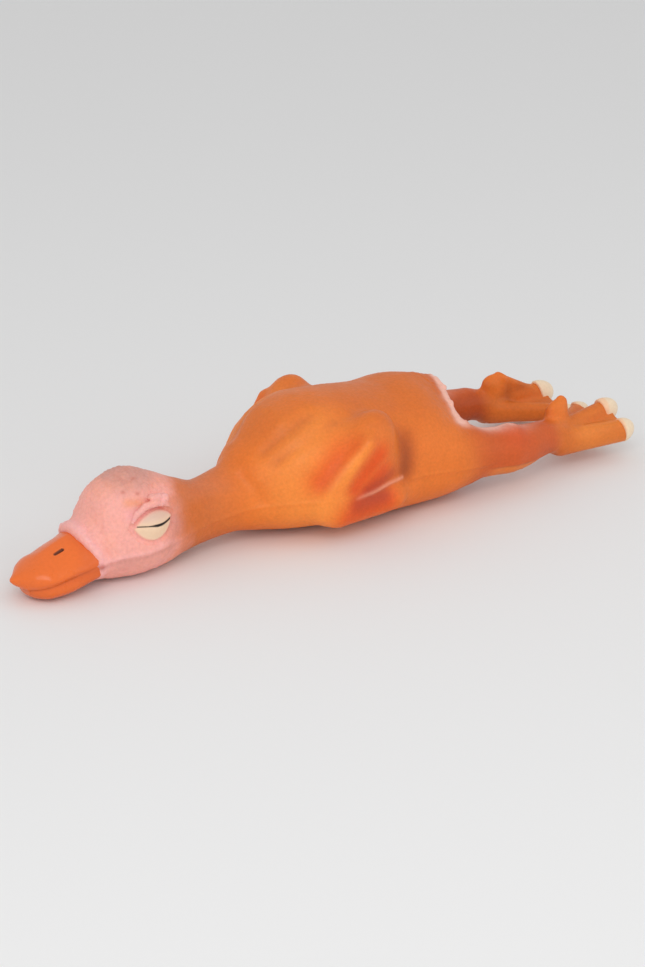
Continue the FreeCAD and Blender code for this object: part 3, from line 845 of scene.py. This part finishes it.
def paint_head(coat, at, cloud, fine):
    reach = 8 * ramp(at.z, 38, 46) + 5 * ramp(at.z, 26, 16)
    head = 1 - ramp(at.x + 7 * fine - reach, -117, -92)
    coat.spray(PINK, head)
    coat.spray(GREY_PINK, head * 0.95 * ramp(at.z, 44, 54) * ramp(at.x, -145, -128))
    glow = stroke(at, (-129, -20, 38), (-109, -19, 43.5), 4)
    coat.spray(BRIGHT_PINK, head * np.clip(0.5 * cloud + 0.8 * glow, 0, 1))
    patch = stroke(at, (-129.4, -15.8, 44.2), (-122.7, -18.8, 43.8), 2.4)
    coat.spray(PEACH, head * np.clip(0.5 * np.clip(fine, 0, 1) + 0.9 * patch, 0, 1))
    mauve = spot(at, (-104, -19, 27), (7, 8, 9)) + 0.6 * stroke(at, (-138, -20, 13), (-108, -22, 16), 5)
    coat.spray(MAUVE, 0.6 * mauve)
    seam = off_line(at, JAW_SEAM)
    # Painted highlight: bright pink along the ridge of the jaw's mould seam.
    coat.spray(BRIGHT_PINK, 0.5 * hump(seam, 0, 1.2) * fall(at.x, -116, -102))
    coat.spray(MAUVE, 0.35 * hump(seam, 2.4, 1.3) * ramp(at.z, 18.5, 17) * fall(at.x, -112, -100))
    marks = sum(spot(at, middle, (1.2, 1.2, 0.8)) for middle in HEAD_MARKS)
    coat.spray(DARK_RED, 0.5 * marks)
    collar = hump(at.x, bill_edge(at.z) + 3, 3)
    coat.spray(BRIGHT_PINK, 0.8 * head * collar)
    corner = spot(at, (-147.2, -17.7, 15.3), (2.2, 4, 1.6))
    coat.spray(DARK_RED, 0.7 * corner)


def skin_paint(points, normals):
    """The airbrushed colours of the skin, with painted shade in its creases and hollows and over the top of
    the back, and painted highlights along its ridges and seams.
    """
    at = Space.folded(points)
    cloud, fine = layered(points, 26), layered(points, 7, shift=9.0)
    coat = Coat(ORANGE, len(points))
    paint_body(coat, at, cloud, fine)
    inward = -normals[:, 1] * np.sign(points[:, 1])
    paint_rear(coat, at, cloud, fine, -normals[:, 2], inward)
    paint_wings(coat, at)
    paint_head(coat, at, cloud, fine)
    creases = ramp(wrinkle(points, 4.5), 0.6, 0.95) * ramp(layered(points, 14), -0.2, 0.4)
    coat.spray(DARK_RED, 0.12 * (creases * fall(at.x, -112, -98)))
    return coat.colour * (1 + 0.05 * fine)[:, None]


def off_line(at, points):
    """Distance to a line through points."""
    return np.maximum(at.chain([(point, 0) for point in points], 0.01), 0)


def leg_seam(at):
    """Height over the mould seam along the leg, and where that seam shows."""
    over = at.z - np.interp(at.x, *LEG_SEAM)
    return over, ramp(at.x, 84, 95) * fall(at.x, 134, 146) * ramp(-at.y, 26, 34)


def skin_relief(points):
    """How far the moulded wrinkles, pores, collar and seam stand out of the smooth form."""
    at = Space.folded(points)
    head = 1 - ramp(at.x, -110, -92)
    rump = ramp(at.x, 55, 85) * fall(at.x, 100, 112) * ramp(at.z, 38, 50)
    body = (1 - head) * fall(at.x, 120, 140)
    off_eye = ramp(almond(at), 0.5, 3.0)
    relief = -head * off_eye * 0.36 * wrinkle(points, 4.5) * ramp(layered(points, 14), -0.2, 0.4)
    relief += head * off_eye * (0.40 * layered(points, 3.0) + 0.42 * pimples(points, 2.6, 1.3))
    relief += body * (0.15 * pimples(points, 3.0, 1.2) + 0.10 * layered(points, 8))
    relief += rump * (0.6 * pimples(points, 4.2, 2.3) + 0.45 * layered(points, 6, shift=2))
    edge = hump(rump_plane(at), -1.0, 2.6) * ramp(at.z, 32, 42) * fall(-at.y, 29, 36)
    relief += edge * (0.7 + 1.5 * pimples(points, 5.2, 2.8))
    behind = at.x - bill_edge(at.z)
    above = ramp(at.z, 3, 9)
    relief += above * (0.9 * hump(behind, 2.6, 2.4) - 0.6 * hump(behind, 6.6, 1.5))
    for (x, z), radius in HEAD_CURLS:
        ring = np.abs(np.hypot(at.x - x, at.z - z) - radius)
        relief -= 0.35 * hump(ring, 0, 0.7) * ramp(-at.y, 12, 15)
    relief -= 0.6 * stroke(at, *SPUR_CREASE, 1.5)
    over, shown = leg_seam(at)
    relief += 0.4 * hump(over, 0, 0.9) * shown
    relief -= 0.35 * rump * wrinkle(points, 5.0)
    relief += 0.4 * hump(off_line(at, JAW_SEAM), 0, 1.1) * fall(at.x, -116, -100)
    seam = at.z - through(at.x, TRUNK, 4)
    on_wing = 1 - ramp(np.abs(at.x - 2), 34, 24)
    shown = ramp(-at.y, 8, 13) * fall(at.x, 84, 95) * (0.3 + 0.7 * on_wing)
    relief += 0.5 * hump(seam, 0, 0.85) * shown + 0.8 * hump(off_line(at, WING_FLASH), 0, 1.0)
    return relief


# -------- the latex skin

HEAD_TO, NECK_TO = -71, -30  # where the skin is divided, along X
HIP_WAY = (0.766, 0.643)  # the way along which the skin is divided at a hip: to the feet and outward
HIP_FROM, HIP_BEND = 82, (84, 108)
FOOT_FROM, ANKLE_BEND = 123, (124, 146)


def neighbours(faces):
    """Pairs of faces that share an edge."""
    edges, owners = edges_of(faces)
    edges = np.sort(edges, axis=1)
    order = np.lexsort((edges[:, 1], edges[:, 0]))
    edges, owners = edges[order], owners[order]
    same = (edges[1:] == edges[:-1]).all(axis=1)
    return np.column_stack([owners[:-1][same], owners[1:][same]])


def clean_regions(owner, faces):
    """Hand the small islands of each region to the region round them."""
    pairs = neighbours(faces)
    for _ in range(2):
        inner = pairs[owner[pairs[:, 0]] == owner[pairs[:, 1]]]
        label = np.arange(len(owner))
        while True:
            low = label.copy()
            np.minimum.at(low, inner[:, 0], label[inner[:, 1]])
            np.minimum.at(low, inner[:, 1], label[inner[:, 0]])
            low = low[low]
            if (low == label).all():
                break
            label = low
        count = np.bincount(label, minlength=len(owner))
        biggest = {region: count[label[owner == region]].max() for region in np.unique(owner)}
        stray = count[label] < np.array([biggest[region] for region in owner])
        for a, b in (pairs.T, pairs.T[::-1]):
            outer = stray[a] & ~stray[b]
            chosen = np.full(len(owner), -1)
            chosen[label[a[outer]]] = owner[b[outer]]
            moved = stray & (chosen[label] >= 0)
            owner = np.where(moved, chosen[label], owner)
            stray &= ~moved
    return owner


def skin_regions(points, faces):
    """The piece that each face belongs to, as a place in PIECES."""
    middle = points[faces].mean(1)
    at = Space.folded(middle)
    hip = HIP_WAY[0] * at.x - HIP_WAY[1] * at.y > HIP_FROM
    names = np.where(at.x < HEAD_TO, "head", np.where(at.x < NECK_TO, "neck", "torso")).astype("U12")
    names[wing_field(at) < trunk_field(at) + 0.5] = "wing"
    names[at.x < NECK_TO - 2] = np.where(at.x < HEAD_TO, "head", "neck")[at.x < NECK_TO - 2]
    names[hip & (at.x > 55)] = "leg"
    names[at.x > FOOT_FROM] = "foot"
    spur = (at.z > 24) & (at.x < 163) & (spur_field(at, "left") < foot_field(at))
    names[(at.x > FOOT_FROM) & spur] = "hallux"
    side = np.where(middle[:, 1] < 0, "left_", "right_")
    return np.array([PIECES.index(name if name in PIECES else left_or_right + name)
                     for name, left_or_right in zip(names, side)])


PIECES = ["head", "neck", "torso"] + [f"{side}_{kind}" for kind in ("wing", "leg", "foot", "hallux")
                                      for side in SIDES]
KINDS = {"head": ("head_skin", "head_latex"), "neck": ("neck_skin", "body_latex"),
         "torso": ("torso_skin", "body_latex"), "wing": ("wing", "wing_latex"),
         "leg": ("leg_skin", "leg_latex"), "foot": ("foot_web", "foot_latex"),
         "hallux": ("hallux", "foot_latex")}


def hang(piece, region):
    """Bake a piece of skin in place; the torso and the wings follow the torso's body."""
    side, _, kind = region.rpartition("_")
    if kind == "head":
        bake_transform(piece)
    elif kind == "neck":
        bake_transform(piece)
    elif kind == "leg":
        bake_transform(piece)
    elif kind in ("foot", "hallux"):
        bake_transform(piece)
    else:
        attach(piece, "torso")


def make_skin():
    space = Space.grid(*SKIN_BOX, SKIN_GRID)
    rest, faces, out = surface(space, skin_field(space))
    points = rest + out * skin_relief(rest)[:, None]
    normals = vertex_normals(points, faces)
    paint = skin_paint(rest, normals)
    owner = clean_regions(skin_regions(rest, faces), faces)
    for number, region in enumerate(PIECES):
        side, _, kind = region.rpartition("_")
        node, slot = KINDS[kind]
        node = f"{side}_{node}" if side else node
        piece = build(f"{node}_latex", slot, points, faces[owner == number], paint, rest, normals)
        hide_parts(node)
        hang(piece, region)


# -------- bill, eyelids and claws

def nostril_gaps(at):
    """Distance to the line of each nostril, and the nostril's radius."""
    for side, sign in SIDES.items():
        start, end, radius = NOSTRILS[side]
        yield at.facing(sign).limb(start, end, 0, 0), radius


def over_mouth(at):
    corner, level, slope = MOUTH
    return at.z - (level + slope * (at.x - corner))


def bill_field(space):
    """The bill as one form, with a soft crease where its halves meet."""
    ridge = ramp(space.x, -181, -170) * (1 - 0.5 * ramp(space.x, -158, -150))
    upper = space.tube(UPPER_BILL, 2.2 - 0.8 * ridge)
    bill = smooth_min(upper, space.tube(LOWER_BILL, 2.2), 4.5)
    for away, radius in nostril_gaps(space):
        bill = smooth_max(bill, radius - away, 0.5)
    return smooth_max(bill, space.x - bill_edge(space.z) - 2.0, 1.0)


def make_bill():
    """Upper and lower bill, divided along the mouth line."""
    space = Space.grid(*BILL_BOX, FINE_GRID)
    bill, above = bill_field(space), over_mouth(space)
    for name, field, base in (("upper_bill", np.maximum(bill, MOUTH_GAP - above), BILL_ORANGE),
                              ("lower_bill", np.maximum(bill, above + MOUTH_GAP), UNDERBILL)):
        points, faces, _ = surface(space, field)
        at, coat = Space.folded(points), Coat(base, len(points))
        # Painted shade: a faint dark red line along the mouth crease.
        mouth = np.abs(over_mouth(at)) * ramp(at.x, -150, -184)
        coat.spray(DARK_RED, 0.2 * hump(mouth, 0, 0.8))
        for away, radius in nostril_gaps(Space.points(points)):
            coat.spray(NOSTRIL_BROWN, 1 - ramp(away, radius - 0.1, radius + 0.3))
        normals = gradient(bill, space, points)
        piece = build(f"{name}_latex", "bill_paint", points, faces, coat.colour, normals=normals)
        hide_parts(name)
        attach(piece, "head")


def make_eyelids():
    """The closed eye's lids, swelling out of the head, with the painted line where they meet."""
    for side, sign in SIDES.items():
        space = Space.grid(*on_side(EYELID_BOX, sign), LID_GRID)
        at = space.facing(sign)
        skin = head_features(at, trunk_field(at))
        inside = -almond(at)
        off_lash, thick = eye_line(at)
        _, across = eye_plane(at)
        swell = 0.2 + 1.5 * ramp(inside, 0, 6) - 0.35 * ramp(off_lash, thick + 0.5, 0.0)
        swell = swell + 0.25 * ramp(across, -0.4, 0.6) * ramp(inside, 0, 2)
        lids = smooth_max(smooth_max(skin - swell, -inside, 0.8), -(skin + 2.5), 0.5)
        points, faces, _ = surface(space, lids)
        at, coat = Space.folded(points), Coat(CREAM, len(points))
        _, across = eye_plane(at)
        off_lash, thick = eye_line(at)
        coat.spray(SHADED_CREAM, ramp(across, -0.5, 3.5))
        coat.spray(PINK, 0.6 * ramp(almond(at), -1.6, 0.2))
        coat.spray(LASH_BLACK, 1 - ramp(off_lash, thick - 0.1, thick + 0.25))
        piece = build(f"{side}_eyelids_latex", "eyelid_paint", points, faces, coat.colour)
        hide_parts(f"{side}_eyelids")
        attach(piece, "head")


def make_claws():
    """Cream claws that cap the toes of each foot."""
    for side, sign in SIDES.items():
        space = Space.grid(*on_side(CLAW_BOX, sign), FINE_GRID)
        at = space.facing(sign).slack(side)
        start, lean = CLAW_START
        claws = None
        for middle, radii in CLAWS.values():
            claw = smooth_max(at.egg(middle, radii), (start - at.x - lean * (at.z - 9)) / 1.04, 1.0)
            claws = claw if claws is None else np.minimum(claws, claw)
        points, faces, _ = surface(space, claws)
        coat = Coat(CLAW_CREAM, len(points))
        coat.spray(PALE_ORANGE, 0.3 * fall(points[:, 0], 188, 190.5) + 0.06 * layered(points, 5))
        piece = build(f"{side}_claws_latex", "claw_paint", points, faces, coat.colour)
        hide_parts(f"{side}_claws")
        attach(piece, f"{side}_foot")


# -------- inside

def make_fill():
    """The wad of polyester fibre that keeps the belly full."""
    space = Space.grid(*FILL_BOX, FILL_GRID)
    wad = smooth_max(trunk_field(space), rump_plane(space) + 4, 3) + 7.0
    x, y, z = np.broadcast_arrays(space.x, space.y, space.z)
    lumps = layered(np.column_stack([x.ravel(), y.ravel(), z.ravel()]), 16)
    wad = wad + 1.8 * np.abs(lumps).reshape(space.shape)
    wad = smooth_max(wad, -space.bore(*SQUEAKER_POCKET), 3)
    wad = smooth_max(wad, -space.egg(VENT[0], [radius + 4 for radius in VENT[1]]), 3)
    points, faces, _ = surface(space, wad)
    piece = build("fibre_wad", "fibre", points, faces, Coat(FIBRE_WHITE, len(points)).colour)
    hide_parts("fibre_fill")
    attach(piece, "torso")


def finish_squeaker():
    """Finishes for the squeaker's parts, which stay as they are in the CAD."""
    for node, slot in (("squeaker_housing", "squeaker_plastic"), ("squeaker_cover", "squeaker_plastic"),
                       ("reed_block", "reed_plastic"), ("reed_clip", "reed_plastic"),
                       ("reed_tongue", "reed_brass")):
        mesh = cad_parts[node].data
        mesh.materials.clear()
        mesh.materials.append(FINISH[slot])


# -------- stage

def make_floor(half, colour, roughness):
    mesh = bpy.data.meshes.new("floor")
    mesh.from_pydata([(-half, -half, 0), (half, -half, 0), (half, half, 0), (-half, half, 0)], [],
                     [(0, 1, 2, 3)])
    floor = add_object("floor", mesh)
    pale = bpy.data.materials.new("pale_floor")
    pale.use_nodes = True
    shader = pale.node_tree.nodes["Principled BSDF"]
    shader.inputs["Base Color"].default_value = (*colour, 1)
    shader.inputs["Roughness"].default_value = roughness
    mesh.materials.append(pale)


def aim(thing, way):
    thing.rotation_euler = way.to_track_quat("-Z", "Y").to_euler()


def make_camera(azimuth, elevation, distance, target, sensor, lens):
    """A camera seen from the target at two angles in degrees, with sensor height and lens in mm."""
    camera = add_object("camera", bpy.data.cameras.new("camera"))
    bpy.context.scene.camera = camera
    azimuth, elevation = math.radians(azimuth), math.radians(elevation)
    back = Vector((math.sin(azimuth) * math.cos(elevation), -math.cos(azimuth) * math.cos(elevation),
                   math.sin(elevation)))
    camera.location = Vector(target) + back * distance
    aim(camera, -back)
    camera.data.sensor_fit = "VERTICAL"
    camera.data.sensor_height = sensor
    camera.data.lens = lens


def make_lamp(name, where, energy, size, target=(0, 0, 0.03)):
    lamp = bpy.data.lights.new(name, "AREA")
    lamp.energy = energy
    lamp.size = size
    lamp_object = add_object(name, lamp)
    lamp_object.location = where
    aim(lamp_object, Vector(target) - Vector(where))


def make_world(strength):
    world = bpy.data.worlds.new("world")
    bpy.context.scene.world = world
    world.use_nodes = True
    background = world.node_tree.nodes["Background"]
    background.inputs["Color"].default_value = (1, 1, 1, 1)
    background.inputs["Strength"].default_value = strength


make_skin()
make_bill()
make_eyelids()
make_claws()
make_fill()
finish_squeaker()
make_floor(half=6, colour=(0.86, 0.86, 0.86), roughness=0.8)
make_camera(azimuth=-38, elevation=22, distance=1.2, target=place(6, 0, 16), sensor=36, lens=82.46)
make_lamp("key", (-0.9, -1.0, 1.0), energy=7.2, size=0.9)
make_lamp("fill", (0.7, -1.3, 0.7), energy=3.2, size=1.2)
make_world(strength=0.68)
bpy.context.scene.view_settings.view_transform = "Standard"
